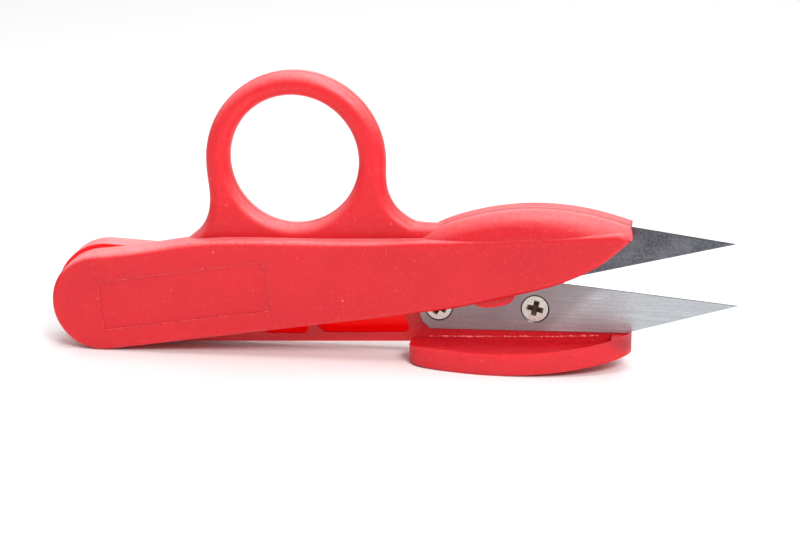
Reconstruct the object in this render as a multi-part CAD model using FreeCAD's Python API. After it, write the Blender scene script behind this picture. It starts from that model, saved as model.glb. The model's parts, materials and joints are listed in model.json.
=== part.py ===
import FreeCAD, Part
import math
import os

# Thread snips: two moulded handles hinged at the butt, each carrying one screwed-on blade.
# Frame: +X to the blade tips, +Y away from the ringed side, +Z up; the tool stands on its edge.
# Outlines are written as (u, w): millimetres ahead of the pivot and above the pivot.

V = FreeCAD.Vector

# Driving dimensions, mm and degrees
BUTT_R = 8.95
TIP_REACH = 112.5
LOWER_TIP_DEG = 1.43
UPPER_TIP_DEG = 7.15
CLOSING_DEG = 5.7
PIVOT_X = -(TIP_REACH * math.cos(math.radians(LOWER_TIP_DEG)) - BUTT_R) / 2
PIVOT_Z = BUTT_R

HALF_BODY = 5.5            # each handle reaches this far from the mid-plane
ARM_GAP = 0.15             # each handle's inner face stands this far off the mid-plane
SKIN = 1.3                 # outer wall over the moulded pockets
EDGE_ROUND = 0.8
UPPER_BUTT_U, UPPER_BUTT_W, UPPER_BUTT_R = 0.2, -0.17, 8.78
UPPER_EDGE_DEG = 9.5       # lower edge of the upper handle
UPPER_BACK_DEG = 7.0       # top edge of the upper handle where it leaves the butt
RAIL_DEG = 2.8             # lower edge of the lower handle
LOWER_BUTT_TOP = 9.28

RING_U, RING_W = 34.6, 26.15     # bore centre
RING_BORE_R = 11.5
BAND_U, BAND_W = 34.85, 25.97    # the outside is struck from a slightly different centre
BAND_R = 15.92
RING_HALF = 2.5
RING_ROUND = 2.0

REST_NEAR, REST_FAR = -5.3, 4.6

BLADE_T = 1.0
BLADE_GAP = 0.03               # each blade's inner face stands this far off the mid-plane
BEVEL_WIDTH, BEVEL_DEPTH = 2.6, 0.55
BLADE_HOLE_R = 1.45
BLADE_EDGE_LOWER_DEG = -5.04   # slope of the lower cutting edge
BLADE_EDGE_UPPER_DEG = 14.3
BLADE_SCREWS = [(51.75, 7.05), (34.83, 5.18)]   # (back from the tip, in from the edge)
SCREW_HEAD_R = 2.3
SCREW_SHANK_R = 1.25
SCREW_LENGTH = 4.6
SCREW_HOLE_R = 1.27
SINK_R = 2.55
HEAD_BELOW = 0.09
SCREW_TURN = (-30, -13)        # how far each cross recess happens to be turned
CROSS_SPAN = 3.1
CROSS_ARM = 1.0

PAD_CENTRE_U, PAD_HALF_U, PAD_HALF_Y = 73.0, 21.4, 9.3
PAD_START_U = 55.55
PAD_CORNER = 2.4
PAD_LOW_U = 67.0
PAD_SOLE_R = 130.0
PAD_LIP = 3.8

BOSS_R = 2.6
BOSS_BORE_R = 2.65
BOSS_END = 3.86
HUB_FLOOR = 3.78
HUB_RECESS_R = 3.95
SPRING_ROOM_R = 5.3
SPRING_ROOM = 2.6
WASHER_R, WASHER_HOLE_R, WASHER_T = 3.5, 1.35, 0.4
PIVOT_HEAD_R, PIVOT_HEAD_T = 2.6, 1.15

WIRE_R = 0.35
COIL_R = 3.9
COIL_TURNS = 3.5
COIL_PITCH = 0.78
LEG = 12.0
LEG_DEG = 4.0


def at(u, w, y=0.0):
    return V(PIVOT_X + u, y, PIVOT_Z + w)


def line(a, b):
    return Part.makeLine(at(*a), at(*b))


def arc(a, mid, b):
    return Part.Arc(at(*a), at(*mid), at(*b)).toShape()


def spline(points, start_dir=None, end_dir=None):
    curve = Part.BSplineCurve()
    ends = {}
    if start_dir:
        ends = {"InitialTangent": V(start_dir[0], 0, start_dir[1]),
                "FinalTangent": V(end_dir[0], 0, end_dir[1])}
    curve.interpolate(Points=[at(*p) for p in points], **ends)
    return curve.toShape()


def plate(edges, y0, y1):
    wire = Part.Wire(Part.__sortEdges__(edges))
    solid = Part.Face(wire).extrude(V(0, y1 - y0, 0))
    solid.translate(V(0, y0, 0))
    return solid


def slab(points, y0, y1):
    loop = [at(*p) for p in points]
    solid = Part.Face(Part.makePolygon(loop + loop[:1])).extrude(V(0, y1 - y0, 0))
    solid.translate(V(0, y0, 0))
    return solid


def disc(u, w, r, y0, y1):
    return Part.makeCylinder(r, y1 - y0, at(u, w, y0), V(0, 1, 0))


def cone(u, w, r0, r1, y0, y1):
    return Part.makeCone(r0, r1, y1 - y0, at(u, w, y0), V(0, 1, 0))


def round_corners(solid, radius):
    upright = [e for e in solid.Edges if len(e.Vertexes) == 2
               and abs(e.Vertexes[0].Point.y - e.Vertexes[1].Point.y) > 0.05]
    return solid.makeFillet(radius, upright)


def edges_at(solid, y, keep=lambda centre: True):
    """Edges lying in the plane at this y whose centre passes the test."""
    found = []
    for edge in solid.Edges:
        box = edge.BoundBox
        if abs(box.YMin - y) < 1e-3 and abs(box.YMax - y) < 1e-3:
            if keep(edge.CenterOfMass - at(0, 0)):
                found.append(edge)
    return found


def on_circle(angle_deg, u, w, r):
    a = math.radians(angle_deg)
    return (u + r * math.cos(a), w + r * math.sin(a))


def slope(deg):
    return (math.cos(math.radians(deg)), math.sin(math.radians(deg)))


def countersink(u, w, wide, narrow, face, side):
    """Forty-five degree cone, wide at the face and narrowing as it goes in."""
    deep = wide - narrow
    if side < 0:
        return cone(u, w, narrow, wide, face - deep, face)
    return cone(u, w, wide, narrow, face, face + deep)


# ---------------------------------------------------------------- blades

def blade_point(s, t, upper):
    """A point s back from the tip along the cutting edge and t in towards the spine."""
    tip_deg = UPPER_TIP_DEG if upper else LOWER_TIP_DEG
    edge_deg = BLADE_EDGE_UPPER_DEG if upper else BLADE_EDGE_LOWER_DEG
    side = 1 if upper else -1
    tip = (TIP_REACH * slope(tip_deg)[0], TIP_REACH * slope(tip_deg)[1])
    c, n = slope(edge_deg)
    return (tip[0] - s * c - side * t * n, tip[1] - s * n + side * t * c)


def blade_blank(upper, grow=0.0):
    """Blade plan, 55.1 long, with a straight ground edge and a spine that tapers to the tip."""
    g = grow
    plan = [(-g, -g), (18.4 - g, 7.35 + g), (52.9, 11.2 + g), (54.4 + g, 10.0 + g), (55.1 + g, 8.4),
            (55.1 + g, 2.5 - g), (47.5, -g)]
    return [blade_point(s, t, upper) for s, t in plan]


def blade(upper):
    side = -1 if upper else 1
    face = side * BLADE_GAP
    back = face + side * BLADE_T
    solid = slab(blade_blank(upper), min(face, back), max(face, back))
    # the bevel that makes the edge is ground on the side away from the other blade
    ends = []
    for s in (-0.5, 47.7):
        bevel = [at(*blade_point(s, 0, upper), back), at(*blade_point(s, BEVEL_WIDTH, upper), back),
                 at(*blade_point(s, 0, upper), back - side * BEVEL_DEPTH)]
        ends.append(Part.makePolygon(bevel + bevel[:1]))
    solid = solid.cut(Part.makeLoft(ends, True, True))
    for s, t in BLADE_SCREWS:
        u, w = blade_point(s, t, upper)
        solid = solid.cut(disc(u, w, BLADE_HOLE_R, -2, 2))
        solid = solid.cut(countersink(u, w, SINK_R, BLADE_HOLE_R, face, side))
    return solid


def cross_recess(u, w, y_face, into, turn_deg):
    """Phillips recess: two tapering wings sunk into a head whose face is at y_face."""
    recess = None
    for turn in (turn_deg, turn_deg + 90):
        a = math.radians(turn)
        loops = []
        for span, arm, deep in ((CROSS_SPAN, CROSS_ARM, -0.05), (CROSS_SPAN * 0.3, CROSS_ARM * 0.7, 0.95)):
            corners = []
            for i, j in ((-1, -1), (1, -1), (1, 1), (-1, 1)):
                p, q = i * span / 2, j * arm / 2
                corners.append(at(u + p * math.cos(a) - q * math.sin(a),
                                  w + p * math.sin(a) + q * math.cos(a), y_face + into * deep))
            loops.append(Part.makePolygon(corners + corners[:1]))
        wing = Part.makeLoft(loops, True, True)
        recess = wing if recess is None else recess.fuse(wing)
    return recess


def blade_screw(index, upper):
    """Countersunk screw, head flush in the blade's inner face, shank in the handle."""
    u, w = blade_point(*BLADE_SCREWS[index], upper)
    side = -1 if upper else 1
    y = side * HEAD_BELOW
    solid = countersink(u, w, SCREW_HEAD_R, SCREW_SHANK_R, y, side)
    seat, point = y + side * 0.5, side * SCREW_LENGTH
    solid = solid.fuse(disc(u, w, SCREW_SHANK_R, min(seat, point), max(seat, point)))
    return solid.cut(cross_recess(u, w, y, side, SCREW_TURN[index]))


# ---------------------------------------------------------------- upper handle

TOP_LINE = [(7.4, 9.75), (15.5, 11.3), (36.0, 12.5), (67.6, 14.1), (91.4, 16.1)]


NOSE_EDGE = [(94.0, 14.7), (92.0, 12.5), (89.3, 10.2), (86.6, 8.55), (81.1, 6.0), (75.0, 4.15), (66.0, 2.2)]
BELLY = (56.0, 0.25)


def nose_edge(inset):
    """Lower edge of the nose moved in by inset, which fades out towards the belly."""
    moved = []
    for i, (u, w) in enumerate(NOSE_EDGE):
        ahead, behind = NOSE_EDGE[max(0, i - 1)], NOSE_EDGE[min(len(NOSE_EDGE) - 1, i + 1)]
        du, dw = ahead[0] - behind[0], ahead[1] - behind[1]
        shift = inset * min(1.0, (u - NOSE_EDGE[-1][0]) / 9.0) / math.hypot(du, dw)
        moved.append((u - shift * dw, w + shift * du))
    return moved


def upper_outline(inset):
    """Side outline; inset draws the lower nose edge back to leave a narrow land."""
    butt = (UPPER_BUTT_U, UPPER_BUTT_W, UPPER_BUTT_R)
    low = on_circle(UPPER_EDGE_DEG - 90, *butt)
    high = on_circle(UPPER_BACK_DEG + 90, *butt)
    under = nose_edge(inset)
    back = slope(UPPER_EDGE_DEG + 180)
    return [arc(low, on_circle(180, *butt), high),
            spline([high] + TOP_LINE, slope(UPPER_BACK_DEG), slope(5)),
            arc(TOP_LINE[-1], (93.2 - inset, 15.9), under[0]),
            spline(under + [BELLY], (-0.55, -0.83), back),
            line(BELLY, low)]


def finger_ring():
    """Ring and its web: one rounded band round the bore, running down into the handle's top."""
    left, right = (BAND_U - BAND_R, BAND_W), (BAND_U + BAND_R, BAND_W)
    foot_l, foot_r = (12.3, 10.2), (58.5, 15.5)
    deep_l, deep_r = (12.3, 6.0), (61.0, 11.0)
    chain = [
        spline([left, (19.5, 18.2), (18.3, 14.0), (15.8, 11.5), foot_l], (0, -1), (-1, -0.1)),
        arc(left, (BAND_U, BAND_W + BAND_R), right),
        spline([right, (51.15, 20.9), (53.1, 17.6), (55.2, 16.1), foot_r], (0, -1), (1, 0)),
        line(foot_r, (61.0, 15.5)),
        line((61.0, 15.5), deep_r),
        line(deep_r, deep_l),
        line(deep_l, foot_l),
    ]
    solid = plate(chain, -RING_HALF, RING_HALF)
    solid = solid.cut(disc(RING_U, RING_W, RING_BORE_R, -9, 9))
    rounded = []
    for y in (-RING_HALF, RING_HALF):
        rounded += edges_at(solid, y, lambda c: c.z > 13.8 or c.x < 18.4 and c.z > 9.9)
    return solid.makeFillet(RING_ROUND, rounded)


def upper_rest():
    """Finger rest along the top of the nose, crowned towards the near side and rounded off at its end."""
    top = [(56.5, 12.9), (60.0, 15.15), (65.25, 17.2), (71.0, 18.55), (77.5, 19.18), (84.5, 18.78),
           (89.4, 17.85), (93.0, 16.85), (96.5, 15.8)]
    floor = [top[-1], (96.5, 15.2), (90.0, 14.6), (56.5, 11.2), top[0]]
    edges = [spline(top)] + [line(a, b) for a, b in zip(floor, floor[1:])]
    solid = plate(edges, REST_NEAR, REST_FAR)
    crown = 16.4
    solid = solid.makeFillet(4.3, edges_at(solid, REST_NEAR, lambda c: c.z > crown))
    solid = solid.makeFillet(1.6, edges_at(solid, REST_FAR, lambda c: c.z > crown))
    end = [(94.1, 14.9), (94.1, 13.0), (99.0, 13.0), (99.0, 17.6), (92.0, 17.6)]
    past = [arc(end[-1], (93.75, 16.4), end[0])] + [line(a, b) for a, b in zip(end, end[1:])]
    return solid.cut(plate(past, -9, 9))


def upper_pockets():
    """Lightening pockets open to the inner face, between the butt and the blade seat."""
    spans = [((16.5, -4.7), (27.5, -2.9), (27.5, 9.8), (16.5, 8.9)),
             ((29.1, -2.6), (40.5, -0.7), (40.5, 10.6), (29.1, 9.9)),
             ((42.1, -0.4), (53.6, 1.6), (53.6, 11.2), (42.1, 10.7))]
    return [round_corners(slab(span, -HALF_BODY + SKIN, 0), 1.0) for span in spans]


def spring_room(upper):
    """Round recess for the coil and a straight slot for its leg."""
    y0, y1 = (-SPRING_ROOM - 0.4, 0) if upper else (0, SPRING_ROOM)
    side = 1 if upper else -1
    room = disc(0, 0, SPRING_ROOM_R, y0, y1)
    edge = COIL_R + WIRE_R + 0.08
    rise = (LEG + 1.0) * math.tan(math.radians(LEG_DEG))
    slot = [(0, side * edge), (LEG + 1.0, side * (edge + rise)), (LEG + 1.0, side * 1.6), (0, side * 1.6)]
    return room.fuse(slab(slot, y0, y1))


def upper_handle():
    inner, outer = -ARM_GAP, -HALF_BODY
    land = plate(upper_outline(0.0), -2.2, inner)
    cover = plate(upper_outline(0.45), outer, -2.2)
    cover = cover.makeFillet(EDGE_ROUND, edges_at(cover, outer))
    solid = land.fuse(cover)
    over = finger_ring().fuse(upper_rest())
    # past the inner face the ring and the rest stop above the top line, clear of the lower handle
    under = [(-20, -20), (-20, 8.6), (3, 9.3)] + [(u, w + 0.1) for u, w in TOP_LINE] + [(99, 16.6), (99, -20)]
    over = over.cut(slab(under, inner, 9))
    solid = solid.fuse(over)
    tab = [(66.4, 3.6), (67.0, 2.4), (68.3, 1.8), (70.2, 1.9), (72.4, 2.4), (73.7, 3.2), (74.1, 4.4)]
    solid = solid.fuse(plate([spline(tab), line(tab[-1], (70.0, 6.0)), line((70.0, 6.0), tab[0])], -4.2, -1.3))
    for pocket in upper_pockets():
        solid = solid.cut(pocket)
    solid = solid.cut(spring_room(True))
    solid = solid.fuse(disc(0, 0, BOSS_R, -HALF_BODY + 1.0, BOSS_END))
    solid = solid.cut(disc(0, 0, SCREW_HOLE_R, -3.2, 9))
    solid = solid.cut(slab(blade_blank(True, 0.08), -BLADE_GAP - BLADE_T, 0.2))
    for s, t in BLADE_SCREWS:
        u, w = blade_point(s, t, True)
        solid = solid.cut(disc(u, w, SCREW_HOLE_R, -SCREW_LENGTH - 0.1, 0))
        solid = solid.cut(disc(u, w, BLADE_HOLE_R, -BLADE_T - 0.2, 0))
    panel = [(0.0, 3.6), (30.4, 8.7), (31.2, -0.15), (0.9, -5.15)]
    solid = solid.cut(round_corners(slab(panel, outer - 1, outer + 0.18), 0.8))
    return solid.removeSplitter()


# ---------------------------------------------------------------- lower handle

def lower_outline():
    low = on_circle(RAIL_DEG - 90, 0, 0, BUTT_R)
    high, step = (0.0, LOWER_BUTT_TOP), (10.3, LOWER_BUTT_TOP - 0.45)
    back = slope(RAIL_DEG + 180)
    rail_end = (60.0, low[1] + (60.0 - low[0]) * math.tan(math.radians(RAIL_DEG)))
    nose = (93.9, -3.2)
    crest = [(10.9, 7.6), (34.0, 6.8), (58.0, 4.9), (80.0, 3.0)]
    brow = [crest[-1], (87.5, 1.6), (92.3, -0.6), nose]
    return [arc(low, (-BUTT_R, 0), high),
            line(high, step), line(step, crest[0]),
            line(crest[0], crest[1]), line(crest[1], crest[2]), line(crest[2], crest[3]),
            spline(brow), line(nose, (91.5, -6.4)), line((91.5, -6.4), rail_end), line(rail_end, low)]


def pad_half_width(u):
    """Oval in plan, cut short at the back with rounded corners."""
    oval = PAD_HALF_Y * math.sqrt(max(0.0, 1 - ((u - PAD_CENTRE_U) / PAD_HALF_U) ** 2))
    corner = max(0.0, PAD_CORNER - (u - PAD_START_U))
    return oval - PAD_CORNER + math.sqrt(PAD_CORNER ** 2 - corner ** 2)


def pad_sole(u):
    return -PIVOT_Z + (u - PAD_LOW_U) ** 2 / (2 * PAD_SOLE_R)


def pad_section(u):
    """Cross-section of the thumb rest: flat middle, edges turned up to a lip."""
    b = pad_half_width(u)
    f = min(0.88 * b, 5.9 * math.sqrt(b / PAD_HALF_Y))
    sole = pad_sole(u)
    flat = -PIVOT_Z + 3.25 + 0.012 * (u - PAD_START_U)
    turned_up = min(1.0, (u - PAD_START_U) / 4 + 0.02)
    lip = flat + (sole + PAD_LIP - flat) * turned_up
    ring = [(-b, sole), (-b, lip), (-f, flat), (f, flat), (b, lip), (b, sole)]
    corners = [at(u, w, y) for y, w in ring]
    return Part.makePolygon(corners + corners[:1])


def thumb_rest():
    corner_end = PAD_START_U + PAD_CORNER
    places = [PAD_START_U + PAD_CORNER * (1 - math.cos(math.radians(22.5 * i))) for i in range(4)]
    start = math.asin((corner_end - PAD_CENTRE_U) / PAD_HALF_U)
    stop = math.radians(86)
    for i in range(11):
        places.append(PAD_CENTRE_U + PAD_HALF_U * math.sin(start + (stop - start) * i / 10.0))
    return Part.makeLoft([pad_section(u) for u in places], True, False)


def thumb_rest_nose():
    """The rest's front end stands up to the blade's back edge."""
    plan = []
    for i in range(13):
        turn = math.radians(58 + 64 * i / 12.0)
        plan.append(V(PIVOT_X + PAD_CENTRE_U + (PAD_HALF_U - 0.25) * math.sin(turn),
                      (PAD_HALF_Y - 0.25) * math.cos(turn), 0))
    block = Part.Face(Part.makePolygon(plan + plan[:1])).extrude(V(0, 0, PIVOT_Z - 3.2))
    sole = []
    for i in range(5):
        u = 90.0 + i * 1.25
        sole.append((u, pad_sole(u) + 0.3))
    return block.common(slab(sole + [(95.0, 0), (90.0, 0)], -12, 12))


def lower_pockets():
    spans = [((16.5, -6.6), (27.0, -6.1), (27.0, 5.5), (16.5, 5.8)),
             ((28.8, -6.1), (36.8, -5.7), (36.8, 5.2), (28.8, 5.4)),
             ((39.9, -5.4), (55.4, -4.6), (54.3, -1.6), (54.3, 3.7), (38.4, 5.0), (38.4, -4.2))]
    return [round_corners(slab(span, 0, HALF_BODY - SKIN), 0.9) for span in spans]


def lower_handle():
    inner, outer = ARM_GAP, HALF_BODY
    solid = plate(lower_outline(), inner, outer)
    solid = solid.makeFillet(EDGE_ROUND, edges_at(solid, outer, lambda c: c.z > -4 or c.x < 58))
    solid = solid.fuse(thumb_rest()).fuse(thumb_rest_nose())
    for pocket in lower_pockets():
        solid = solid.cut(pocket)
    solid = solid.cut(spring_room(False))
    solid = solid.cut(disc(0, 0, BOSS_BORE_R, -9, 9))
    solid = solid.cut(disc(0, 0, HUB_RECESS_R, HUB_FLOOR, 9))
    solid = solid.cut(slab(blade_blank(False, 0.08), -0.2, BLADE_GAP + BLADE_T))
    for s, t in BLADE_SCREWS:
        u, w = blade_point(s, t, False)
        solid = solid.cut(disc(u, w, SCREW_HOLE_R, 0, SCREW_LENGTH + 0.1))
        solid = solid.cut(disc(u, w, BLADE_HOLE_R, 0, BLADE_T + 0.2))
    return solid.removeSplitter()


# ---------------------------------------------------------------- pivot

def pivot_screw():
    seat = BOSS_END + WASHER_T + 0.02
    head = disc(0, 0, PIVOT_HEAD_R, seat, seat + PIVOT_HEAD_T)
    head = head.makeFillet(0.6, edges_at(head, seat + PIVOT_HEAD_T))
    shank = disc(0, 0, SCREW_SHANK_R, -3.0, seat)
    return head.fuse(shank).cut(cross_recess(0, 0, seat + PIVOT_HEAD_T, -1, 20))


def pivot_washer():
    y = BOSS_END + 0.01
    return disc(0, 0, WASHER_R, y, y + WASHER_T).cut(disc(0, 0, WASHER_HOLE_R, y - 1, y + 2))


def return_spring():
    """Torsion spring round the pivot boss, one leg along each handle."""
    height = COIL_PITCH * COIL_TURNS
    helix = Part.makeLongHelix(COIL_PITCH, height, COIL_R, 0, True)
    ring = Part.Wire(Part.makeCircle(WIRE_R, V(COIL_R, 0, 0), V(0, 1, 0)))
    solid = Part.Wire(helix).makePipeShell([ring], True, True)
    # lay the helix on the pivot axis, from over the pivot in the upper handle to under it in the lower
    solid.rotate(V(0, 0, 0), V(0, 0, 1), -90)
    solid.rotate(V(0, 0, 0), V(1, 0, 0), -90)
    solid.translate(at(0, 0, -height / 2))
    for side in (1, -1):
        c, n = slope(LEG_DEG)
        root = at(-0.15, side * COIL_R, -side * height / 2)
        solid = solid.fuse(Part.makeCylinder(0.9 * WIRE_R, LEG, root, V(c, 0, side * n)))
    return solid


NODES = {
    "lower_handle": lower_handle,
    "upper_handle": upper_handle,
    "lower_blade": lambda: blade(False),
    "upper_blade": lambda: blade(True),
    "lower_blade_screw_rear": lambda: blade_screw(0, False),
    "lower_blade_screw_front": lambda: blade_screw(1, False),
    "upper_blade_screw_rear": lambda: blade_screw(0, True),
    "upper_blade_screw_front": lambda: blade_screw(1, True),
    "pivot_screw": pivot_screw,
    "pivot_washer": pivot_washer,
    "return_spring": return_spring,
}

os.makedirs("parts", exist_ok=True)
for name, make in NODES.items():
    shape = make()
    shape.exportStep("parts/" + name + ".step")
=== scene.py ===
"""Looks of the thread snips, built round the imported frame. Metres; +X to the tips, -Y to the camera."""
import json
import math
import random

import bpy
from mathutils import Matrix, Vector


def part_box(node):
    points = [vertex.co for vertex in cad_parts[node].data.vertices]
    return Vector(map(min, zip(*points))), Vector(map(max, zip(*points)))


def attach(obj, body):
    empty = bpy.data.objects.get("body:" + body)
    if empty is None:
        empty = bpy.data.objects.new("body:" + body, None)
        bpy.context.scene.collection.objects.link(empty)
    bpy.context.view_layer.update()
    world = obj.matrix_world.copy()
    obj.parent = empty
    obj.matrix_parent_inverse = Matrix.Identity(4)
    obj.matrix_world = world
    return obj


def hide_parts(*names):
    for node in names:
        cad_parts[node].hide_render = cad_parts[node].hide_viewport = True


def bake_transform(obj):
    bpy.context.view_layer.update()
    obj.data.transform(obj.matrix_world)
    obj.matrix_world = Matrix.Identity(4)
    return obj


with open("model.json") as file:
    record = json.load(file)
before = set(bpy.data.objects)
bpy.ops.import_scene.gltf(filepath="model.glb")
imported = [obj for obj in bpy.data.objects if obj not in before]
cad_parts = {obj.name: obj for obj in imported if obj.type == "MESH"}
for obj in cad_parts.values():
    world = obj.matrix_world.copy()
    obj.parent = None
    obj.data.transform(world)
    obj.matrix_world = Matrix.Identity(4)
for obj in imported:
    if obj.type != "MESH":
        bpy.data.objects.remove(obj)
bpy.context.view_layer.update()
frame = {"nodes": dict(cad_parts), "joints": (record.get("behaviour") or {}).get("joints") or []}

MM = 0.001
scene = bpy.context.scene
nodes = frame["nodes"]
pivot = Vector(next(j["pos_m"] for j in frame["joints"] if j["name"] == "butt_pivot"))

# ---------------------------------------------------------------- camera

CAMERA_LENS = 105.0
CAMERA_SENSOR = 36.0
CAMERA_UP_DEG = 15.5
CAMERA_SIDE_DEG = 8.0
CAMERA_ROLL_DEG = 0.3
CAMERA_DISTANCE = 0.411
CAMERA_TARGET = Vector((0.0016, 0.0, 0.01635))


def make_camera():
    up = math.radians(CAMERA_UP_DEG)
    side = math.radians(CAMERA_SIDE_DEG)
    forward = Vector((-math.sin(side) * math.cos(up), math.cos(side) * math.cos(up), -math.sin(up)))
    data = bpy.data.cameras.new("camera")
    data.lens = CAMERA_LENS
    data.sensor_width = CAMERA_SENSOR
    data.clip_start = 0.01
    data.clip_end = 20.0
    camera = bpy.data.objects.new("camera", data)
    scene.collection.objects.link(camera)
    turn = forward.to_track_quat("-Z", "Y").to_matrix().to_4x4()
    roll = Matrix.Rotation(math.radians(CAMERA_ROLL_DEG), 4, "Z")
    camera.matrix_world = Matrix.Translation(CAMERA_TARGET - forward * CAMERA_DISTANCE) @ turn @ roll
    scene.camera = camera


# ---------------------------------------------------------------- stage and light

FLOOR_HALF = 3.0
FLOOR_WHITE = (0.93, 0.93, 0.93, 1)
FLOOR_ROUGHNESS = 0.22
WORLD_GREY = 0.45
# name, place, the point that it faces, size across and along (metres), watts
SOFTBOXES = [("softbox_top", (0.05, 0.0, 0.60), (0, 0, 0), (0.42, 0.34), 2.2),
             ("softbox_back", (0.0, 1.0, 0.75), (0, 0.7, 0.0), (1.0, 0.4), 5.8),
             ("softbox_key", (0.50, -0.75, 0.80), (0, 0, 0.02), (0.45, 0.35), 10.0)]


def make_stage():
    mesh = bpy.data.meshes.new("floor")
    corners = [(-FLOOR_HALF, -FLOOR_HALF, 0), (FLOOR_HALF, -FLOOR_HALF, 0),
               (FLOOR_HALF, FLOOR_HALF, 0), (-FLOOR_HALF, FLOOR_HALF, 0)]
    mesh.from_pydata(corners, [], [(0, 1, 2, 3)])
    floor = bpy.data.objects.new("floor", mesh)
    scene.collection.objects.link(floor)
    paper = bpy.data.materials.new("floor_paper")
    paper.use_nodes = True
    shader = paper.node_tree.nodes["Principled BSDF"]
    shader.inputs["Base Color"].default_value = FLOOR_WHITE
    shader.inputs["Roughness"].default_value = FLOOR_ROUGHNESS
    mesh.materials.append(paper)


def make_softbox(name, place, aim, size, watts):
    data = bpy.data.lights.new(name, "AREA")
    data.shape = "RECTANGLE"
    data.size, data.size_y = size
    data.energy = watts
    lamp = bpy.data.objects.new(name, data)
    scene.collection.objects.link(lamp)
    lamp.location = place
    lamp.rotation_euler = (Vector(aim) - Vector(place)).to_track_quat("-Z", "Y").to_euler()


def make_light():
    world = bpy.data.worlds.new("world")
    scene.world = world
    world.use_nodes = True
    sky = world.node_tree.nodes["Background"]
    sky.inputs["Color"].default_value = (1, 1, 1, 1)
    sky.inputs["Strength"].default_value = WORLD_GREY
    for softbox in SOFTBOXES:
        make_softbox(*softbox)


# ---------------------------------------------------------------- node helpers

class Tree:
    """A material's node tree, with short calls for the nodes that these materials use."""

    def __init__(self, name):
        self.material = bpy.data.materials.new(name)
        self.material.use_nodes = True
        self.nodes = self.material.node_tree.nodes
        self.links = self.material.node_tree.links
        self.shader = self.nodes["Principled BSDF"]
        self.place = self.nodes.new("ShaderNodeTexCoord").outputs["Object"]

    def put(self, value, socket):
        """Link a socket, or set a plain value on the input itself."""
        if isinstance(value, bpy.types.NodeSocket):
            self.links.new(value, socket)
        elif value is not None:
            socket.default_value = value

    def set(self, **values):
        """Set the shader's inputs, with _ for each space in a name."""
        for name, value in values.items():
            self.put(value, self.shader.inputs[name.replace("_", " ")])

    def mapped(self, per_metre, tilt_deg=0.0):
        """The piece's own coordinates, scaled alike or by axis, then tilted about Y."""
        node = self.nodes.new("ShaderNodeMapping")
        scales = per_metre if isinstance(per_metre, tuple) else (per_metre, per_metre, per_metre)
        node.inputs["Scale"].default_value = scales
        node.inputs["Rotation"].default_value = (0, math.radians(tilt_deg), 0)
        self.links.new(self.place, node.inputs["Vector"])
        return node.outputs["Vector"]

    def noise(self, per_metre, tilt_deg=0.0, detail=2.0, rough=0.5):
        node = self.nodes.new("ShaderNodeTexNoise")
        node.inputs["Scale"].default_value = 1.0
        node.inputs["Detail"].default_value = detail
        node.inputs["Roughness"].default_value = rough
        self.links.new(self.mapped(per_metre, tilt_deg), node.inputs["Vector"])
        return node.outputs["Fac"]

    def spots(self, per_metre, rim, core, left_out, fade):
        """Scattered round spots, fading from core to rim; left_out is the share of them not drawn."""
        node = self.nodes.new("ShaderNodeTexVoronoi")
        node.inputs["Scale"].default_value = 1.0
        node.inputs["Randomness"].default_value = 1.0
        self.links.new(self.mapped(per_metre), node.inputs["Vector"])
        drawn = self.ramp(self.axes(node.outputs["Color"])[0], left_out, left_out + fade)
        return self.maths("MULTIPLY", self.ramp(node.outputs["Distance"], rim, core), drawn)

    def ramp(self, value, low, high, out_low=0.0, out_high=1.0):
        """Smooth step from out_low to out_high as the value goes from low to high."""
        node = self.nodes.new("ShaderNodeMapRange")
        node.interpolation_type = "SMOOTHSTEP"
        self.put(value, node.inputs["Value"])
        node.inputs["From Min"].default_value = low
        node.inputs["From Max"].default_value = high
        node.inputs["To Min"].default_value = out_low
        node.inputs["To Max"].default_value = out_high
        return node.outputs["Result"]

    def maths(self, what, a, b=None):
        """One sum on values or sockets; what is Blender's name for it."""
        node = self.nodes.new("ShaderNodeMath")
        node.operation = what
        self.put(a, node.inputs[0])
        self.put(b, node.inputs[1])
        return node.outputs["Value"]

    def mix(self, share, a, b):
        """Colour a with this share of colour b."""
        node = self.nodes.new("ShaderNodeMix")
        node.data_type = "RGBA"
        self.put(share, node.inputs["Factor"])
        self.put(a, node.inputs["A"])
        self.put(b, node.inputs["B"])
        return node.outputs["Result"]

    def axes(self, vector=None):
        """The three parts of a vector, by default of the piece's own coordinates."""
        node = self.nodes.new("ShaderNodeSeparateXYZ")
        self.links.new(vector or self.place, node.inputs["Vector"])
        return node.outputs["X"], node.outputs["Y"], node.outputs["Z"]

    def bump(self, height, depth, strength, over=None):
        """Bump of this depth in metres, laid over another bump's normal."""
        node = self.nodes.new("ShaderNodeBump")
        node.inputs["Strength"].default_value = strength
        node.inputs["Distance"].default_value = depth
        self.links.new(height, node.inputs["Height"])
        if over is not None:
            self.links.new(over, node.inputs["Normal"])
        return node.outputs["Normal"]

    def tangent(self, x, y, z):
        """A direction fixed to the piece, for grinding that runs one way all over it."""
        turn = self.nodes.new("ShaderNodeVectorTransform")
        turn.vector_type = "VECTOR"
        turn.convert_from = "OBJECT"
        turn.convert_to = "WORLD"
        turn.inputs["Vector"].default_value = (x, y, z)
        return turn.outputs["Vector"]

    def facing(self, which="Normal"):
        """The surface's direction, fixed to the piece."""
        turn = self.nodes.new("ShaderNodeVectorTransform")
        turn.vector_type = "NORMAL"
        turn.convert_from = "WORLD"
        turn.convert_to = "OBJECT"
        self.links.new(self.nodes.new("ShaderNodeNewGeometry").outputs[which], turn.inputs["Vector"])
        return self.axes(turn.outputs["Vector"])

    def side_on(self):
        """1 on faces that look along Y, the flat sides of a blade; 0 on its edges."""
        return self.ramp(self.maths("ABSOLUTE", self.facing("True Normal")[1]), 0.5, 0.85)


def colour(r, g, b):
    """A colour with full cover, for a colour input."""
    return (r, g, b, 1.0)


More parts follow.
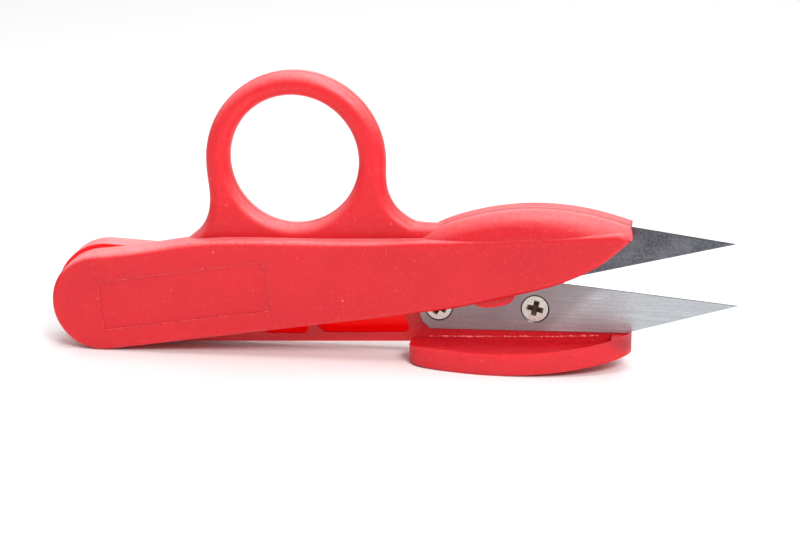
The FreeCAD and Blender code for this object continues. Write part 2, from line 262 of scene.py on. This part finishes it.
# ---------------------------------------------------------------- materials

SEAM_Y = -0.0006
GRINDING_TILT_DEG = -1.5
SCUFF_TILT_DEG = -7
SUNK_DARK_FROM_TO = (0.00005, 0.00030)      # metres below a screw's face


def red_plastic():
    """Moulded red plastic: satin grain, slow drift of colour, specks, a painted sheen where it looks up,
    a painted glow for light in its thin parts.
    """
    t = Tree("red_plastic")
    drift = t.noise(60, detail=3.0)
    base = t.mix(t.ramp(drift, 0.3, 0.7), colour(0.60, 0.004, 0.012), colour(0.66, 0.006, 0.016))
    mottle = t.noise(1300, detail=3.0, rough=0.65)
    base = t.mix(t.ramp(mottle, 0.50, 0.74, 0.0, 0.28), base, colour(0.74, 0.05, 0.06))
    base = t.mix(t.ramp(mottle, 0.46, 0.26, 0.0, 0.30), base, colour(0.48, 0.003, 0.010))
    for per_metre, rim, left_out, pale in ((520, 0.12, 0.91, 0.45), (1200, 0.17, 0.82, 0.22)):
        speck = t.spots(per_metre, rim, rim * 0.4, left_out, 0.03)
        base = t.mix(t.maths("MULTIPLY", speck, pale), base, colour(0.95, 0.42, 0.40))
    x, y, z = t.axes()
    _, ny, nz = t.facing()
    # painted sheen of the light from above, with some rubbed dust: pale on skin that looks up, from the
    # butt to the ring, less of it on the finger rest
    handle = t.maths("MULTIPLY", t.ramp(nz, 0.05, 0.80, 0.0, 0.56), t.ramp(x, -0.004, 0.004, 1.0, 0.0))
    rest = t.maths("MULTIPLY", t.ramp(nz, 0.40, 0.90, 0.0, 0.34), t.ramp(x, -0.004, 0.004, 0.0, 1.0))
    dust_and_sheen = t.maths("MULTIPLY", t.maths("ADD", handle, rest), t.ramp(z, 0.012, 0.016))
    dust_and_sheen = t.maths("MULTIPLY", dust_and_sheen, t.ramp(x, -0.044, -0.036, 1.35, 1.0))
    dust_and_sheen = t.maths("MULTIPLY", dust_and_sheen, t.ramp(mottle, 0.25, 0.65, 0.7, 1.0))
    base = t.mix(dust_and_sheen, base, colour(0.86, 0.30, 0.31))
    # mould parting line, where the two halves of the mould met round the ring and along the finger rest
    off_line = t.maths("ABSOLUTE", t.maths("SUBTRACT", y, SEAM_Y))
    seam = t.ramp(off_line, 0.00030, 0.00045, 1.0, 0.0)
    seam = t.maths("MULTIPLY", seam, t.ramp(z, 0.0225, 0.0235))
    base = t.mix(t.maths("MULTIPLY", seam, 0.75), base, colour(0.42, 0.004, 0.008))
    # painted glow (emission) standing in for daylight that comes through the thin outer wall at the back
    # of the pockets and onto their floors
    back = t.maths("MULTIPLY", t.ramp(y, 0.0032, 0.0040), t.ramp(ny, -0.6, -0.2, 0.42, 0.0))
    shelf = t.maths("MULTIPLY", t.ramp(nz, 0.5, 0.8, 0.0, 0.30), t.ramp(z, 0.0095, 0.0105, 1.0, 0.0))
    shelf = t.maths("MULTIPLY", shelf, t.ramp(y, 0.0003, 0.0012))
    # and painted glow on the ring, more of it higher up, and in the narrow step between the two round
    # butts, lifting the shade there
    ring = t.maths("MULTIPLY", t.ramp(z, 0.020, 0.028, 0.0, 0.085), t.ramp(x, 0.000, 0.006, 1.0, 0.0))
    inside = t.ramp(t.maths("ABSOLUTE", y), 0.0004, 0.0012, 1.0, 0.0)
    step = t.maths("MULTIPLY", t.ramp(x, -0.046, -0.044, 0.16, 0.0), inside)
    painted_glow = t.maths("ADD", t.maths("ADD", back, shelf), t.maths("ADD", ring, step))
    grain = t.noise(3200, detail=2.0, rough=0.6)
    swell = t.noise(210, detail=1.0)
    normal = t.bump(swell, 0.00006, 0.5)
    normal = t.bump(grain, 0.000026, 1.0, over=normal)
    normal = t.bump(seam, 0.00008, 0.8, over=normal)
    rough = t.ramp(t.noise(900, detail=3.0), 0.25, 0.75, 0.38, 0.50)
    t.set(Base_Color=base, Roughness=rough, Normal=normal, IOR=1.49,
          Subsurface_Weight=0.6, Subsurface_Radius=(1.0, 0.08, 0.06), Subsurface_Scale=0.0035,
          Emission_Color=colour(1.0, 0.0, 0.0), Emission_Strength=painted_glow)
    return t.material


def frayed_plastic(name, dark, pale):
    """The same plastic where its edge is thin or rough: paler, with a crumbly surface."""
    t = Tree(name)
    crumb = t.noise(2600, detail=4.0, rough=0.7)
    base = t.mix(t.ramp(crumb, 0.35, 0.65), colour(dark, 0.01, 0.02), colour(0.90, pale, pale))
    t.set(Base_Color=base, Roughness=t.ramp(crumb, 0.3, 0.7, 0.40, 0.60), IOR=1.49,
          Normal=t.bump(crumb, 0.00003, 0.9))
    return t.material


def ground_steel():
    """Bright blade: fine grinding lines along it, a few pits, a painted shadow of the upper handle's nose
    round the screws.
    """
    t = Tree("ground_steel")
    lines = t.noise((110, 4000, 4200), GRINDING_TILT_DEG, detail=4.0, rough=0.7)
    wide = t.noise((30, 900, 1100), GRINDING_TILT_DEG, detail=3.0)
    cloud = t.noise(90, detail=3.0)
    base = t.mix(t.ramp(lines, 0.35, 0.70), colour(0.45, 0.485, 0.51), colour(0.64, 0.68, 0.705))
    base = t.mix(t.ramp(wide, 0.42, 0.75, 0.0, 0.35), base, colour(0.42, 0.43, 0.46))
    base = t.mix(t.ramp(cloud, 0.45, 0.75, 0.0, 0.35), base, colour(0.38, 0.39, 0.42))
    grain = t.noise((1400, 3200, 3200), GRINDING_TILT_DEG, detail=3.0, rough=0.7)
    base = t.mix(t.ramp(grain, 0.48, 0.70, 0.0, 0.45), base, colour(0.34, 0.35, 0.37))
    base = t.mix(t.spots(420, 0.19, 0.07, 0.90, 0.01), base, colour(0.10, 0.045, 0.03))
    x, _, z = t.axes()
    base = t.mix(t.ramp(x, 0.040, 0.058, 0.0, 0.30), base, colour(0.40, 0.41, 0.42))
    # painted shadow of the upper handle's nose: it ends on a slanting line ahead of the front screw
    nose_shadow_line = t.maths("SUBTRACT", t.maths("MULTIPLY", x, 0.64), t.maths("MULTIPLY", z, 0.77))
    base = t.mix(t.ramp(nose_shadow_line, 0.0118, 0.0140, 0.42, 0.0), base, colour(0.20, 0.16, 0.175))
    base = t.mix(t.side_on(), colour(0.07, 0.07, 0.075), base)
    rough = t.ramp(lines, 0.3, 0.7, 0.42, 0.52)
    t.set(Base_Color=base, Metallic=1.0, Roughness=rough, Anisotropic=0.7,
          Tangent=t.tangent(0.03, 0.0, 1.0), Normal=t.bump(lines, 0.000008, 0.7))
    return t.material


def blackened_steel():
    """Dark blade: blackened surface with a faint cloudy mottle and light scuffs along it."""
    t = Tree("blackened_steel")
    mottle = t.noise(1900, detail=4.0, rough=0.75)
    cloud = t.noise(160, detail=3.0)
    lines = t.noise((60, 3500, 3500), SCUFF_TILT_DEG, detail=2.0)
    base = t.mix(t.ramp(mottle, 0.35, 0.72), colour(0.070, 0.072, 0.086), colour(0.170, 0.175, 0.196))
    base = t.mix(t.ramp(cloud, 0.42, 0.72, 0.0, 0.6), base, colour(0.19, 0.195, 0.215))
    base = t.mix(t.ramp(lines, 0.62, 0.74, 0.0, 0.35), base, colour(0.27, 0.27, 0.29))
    base = t.mix(t.side_on(), colour(0.02, 0.02, 0.022), base)
    rough = t.ramp(mottle, 0.3, 0.7, 0.40, 0.54)
    t.set(Base_Color=base, Metallic=1.0, Roughness=rough, Normal=t.bump(mottle, 0.000012, 0.7))
    return t.material


def screw_steel(face_y, into):
    """Plated screw, dark brown below its face, in its recess and round its countersink; into is +1 where
    the screw goes towards +Y.
    """
    t = Tree("screw_steel")
    y = t.axes()[1]
    depth = t.maths("MULTIPLY", t.maths("SUBTRACT", y, face_y), into)
    sunk_dark = t.ramp(depth, *SUNK_DARK_FROM_TO)
    wear = t.noise(1500, detail=3.0)
    base = t.mix(t.ramp(wear, 0.35, 0.70), colour(0.50, 0.475, 0.43), colour(0.66, 0.64, 0.59))
    base = t.mix(sunk_dark, base, colour(0.065, 0.040, 0.026))
    rough = t.maths("ADD", t.ramp(wear, 0.3, 0.7, 0.22, 0.34), t.maths("MULTIPLY", sunk_dark, 0.3))
    t.set(Base_Color=base, Metallic=t.ramp(depth, *SUNK_DARK_FROM_TO, 1.0, 0.1), Roughness=rough,
          Normal=t.bump(wear, 0.000012, 0.6))
    return t.material


def spring_steel():
    """Drawn wire with fine, uneven shine."""
    t = Tree("spring_steel")
    lines = t.noise(2500, detail=3.0)
    base = t.mix(t.ramp(lines, 0.35, 0.7), colour(0.36, 0.36, 0.38), colour(0.52, 0.52, 0.54))
    t.set(Base_Color=base, Metallic=1.0, Roughness=t.ramp(lines, 0.3, 0.7, 0.25, 0.38))
    return t.material


# ---------------------------------------------------------------- small pieces the CAD leaves out

def at(u, w, y):
    """Millimetres ahead of the pivot, above it and across, as a place in the row frame."""
    return pivot + Vector((u * MM, y * MM, w * MM))


def add_piece(name, verts, faces, material, body):
    mesh = bpy.data.meshes.new(name)
    mesh.from_pydata([tuple(v) for v in verts], [], faces)
    mesh.polygons.foreach_set("use_smooth", [True] * len(faces))
    mesh.materials.append(material)
    mesh.update()
    piece = bpy.data.objects.new(name, mesh)
    scene.collection.objects.link(piece)
    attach(piece, body)


BEAD_SIDES = 6
CORNER_STEPS = 4


def bead(name, path, radius, material, body, rough, seed):
    """Thin closed tube along a path; rough makes its thickness and line wander by that share."""
    chance = random.Random(seed)
    sides = BEAD_SIDES
    verts = []
    for i, here in enumerate(path):
        along = (path[min(i + 1, len(path) - 1)] - path[max(i - 1, 0)]).normalized()
        side = along.cross(Vector((0, 1, 0))).normalized()
        up = side.cross(along)
        r = radius * (1 + rough * chance.uniform(-1, 1)) * (0.35 if i in (0, len(path) - 1) else 1.0)
        off = side * radius * rough * chance.uniform(-0.5, 0.5)
        for k in range(sides):
            a = 2 * math.pi * k / sides
            verts.append(here + off + side * r * math.cos(a) + up * r * math.sin(a))
    faces = []
    for i in range(len(path) - 1):
        for k in range(sides):
            a, b = i * sides + k, i * sides + (k + 1) % sides
            faces.append((b, a, a + sides, b + sides))
    faces.append(tuple(range(sides)))
    faces.append(tuple(range(len(verts) - sides, len(verts)))[::-1])
    add_piece(name, verts, faces, material, body)


def chip(name, place, size, material, body, seed):
    """Small lump of swarf or dust, part sunk into the surface."""
    chance = random.Random(seed)
    verts = [place + Vector((size[0] * x, size[1] * y, size[2] * z)) * MM * chance.uniform(0.75, 1.2)
             for x, y, z in ((1, 0, 0), (-1, 0, 0), (0, 1, 0), (0, -1, 0), (0, 0, 1), (0, 0, -1))]
    faces = [(0, 2, 4), (2, 1, 4), (1, 3, 4), (3, 0, 4), (2, 0, 5), (1, 2, 5), (3, 1, 5), (0, 3, 5)]
    add_piece(name, verts, faces, material, body)


def between(points, step):
    """Points along a polyline no further apart than step, in millimetres."""
    path = []
    for a, b in zip(points, points[1:]):
        count = max(1, math.ceil(math.dist(a, b) / step))
        path += [tuple(p + (q - p) * i / count for p, q in zip(a, b)) for i in range(count)]
    return path + [tuple(points[-1])]


# corners of the recessed panel, millimetres ahead of the pivot and above it
PANEL = [(0.0, 3.6), (30.4, 8.7), (31.2, -0.15), (0.9, -5.15)]
PANEL_CORNER = 0.7
FACE_Y = -5.5


def panel_edge():
    """The raised edge round the recessed panel on the upper handle's face."""
    loop = []
    for i, here in enumerate(PANEL):
        ahead, behind = PANEL[(i + 1) % 4], PANEL[i - 1]
        ends = []
        for other in (behind, ahead):
            share = PANEL_CORNER / math.dist(here, other)
            ends.append([p + (q - p) * share for p, q in zip(here, other)])
        for k in range(CORNER_STEPS + 1):
            f = k / CORNER_STEPS
            loop.append([a * (1 - f) ** 2 + 2 * c * f * (1 - f) + b * f ** 2
                         for a, c, b in zip(ends[0], here, ends[1])])
    loop.append(loop[0])
    return [at(u, w, FACE_Y + 0.01) for u, w in between(loop, 0.8)]


# the rough line on the wall under the lower blade, as (ahead, above)
SEAT_EDGE = [(58.6, -5.16), (65.9, -4.92), (73.6, -4.55), (81.8, -4.15), (88.6, -3.70)]
# name, body, place as (ahead, above, across), half sizes along X, Y and Z, all in millimetres
CHIPS = [("web", "upper_arm", (52.1, 15.7, -2.5), (0.20, 0.08, 0.28)),
         ("panel_a", "upper_arm", (12.1, 1.6, -5.33), (0.34, 0.05, 0.07)),
         ("panel_b", "upper_arm", (13.2, 2.7, -5.33), (0.16, 0.05, 0.22)),
         ("panel_c", "upper_arm", (20.5, 3.7, -5.33), (0.09, 0.05, 0.11)),
         ("panel_d", "upper_arm", (28.1, 3.5, -5.33), (0.13, 0.05, 0.08)),
         ("panel_e", "upper_arm", (28.0, 2.5, -5.33), (0.09, 0.05, 0.07)),
         ("seat", "lower_arm", (66.1, -2.6, 0.03), (0.20, 0.05, 0.10))]


def add_small_pieces():
    frayed = frayed_plastic("frayed_plastic", 0.70, 0.28)
    worn = frayed_plastic("worn_plastic", 0.34, 0.12)
    bead("panel_edge", panel_edge(), 0.045 * MM, worn, "upper_arm", rough=0.8, seed=4)
    path = [at(u, w, 0.12) for u, w in between(SEAT_EDGE, 0.3)]
    bead("seat_edge", path, 0.11 * MM, frayed, "lower_arm", rough=0.9, seed=7)
    for i, (name, body, place, size) in enumerate(CHIPS):
        chip("chip_" + name, at(place[0], place[1], place[2]), size, frayed, body, 20 + i)


def add_flexing_spring():
    """The return spring as a piece of its own: a copy of the CAD spring, which is hidden."""
    spring = bpy.data.objects.new("flexing_spring", nodes["return_spring"].data.copy())
    scene.collection.objects.link(spring)
    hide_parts("return_spring")
    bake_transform(spring)


PIVOT_HEAD_CROWN = 0.6 * MM


def paint(node, material):
    mesh = nodes[node].data
    mesh.materials.clear()
    mesh.materials.append(material)


def paint_nodes():
    plastic = red_plastic()
    paint("lower_handle", plastic)
    paint("upper_handle", plastic)
    paint("lower_blade", ground_steel())
    paint("upper_blade", blackened_steel())
    lower_screw = screw_steel(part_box("lower_blade_screw_front")[0].y, 1)
    upper_screw = screw_steel(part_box("upper_blade_screw_front")[1].y, -1)
    pivot_screw = screw_steel(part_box("pivot_screw")[1].y - PIVOT_HEAD_CROWN, -1)
    for place in ("rear", "front"):
        paint("lower_blade_screw_" + place, lower_screw)
        paint("upper_blade_screw_" + place, upper_screw)
    paint("pivot_screw", pivot_screw)
    paint("pivot_washer", pivot_screw)
    paint("return_spring", spring_steel())


make_camera()
make_stage()
make_light()
paint_nodes()
add_small_pieces()
add_flexing_spring()
scene.view_settings.view_transform = "Standard"
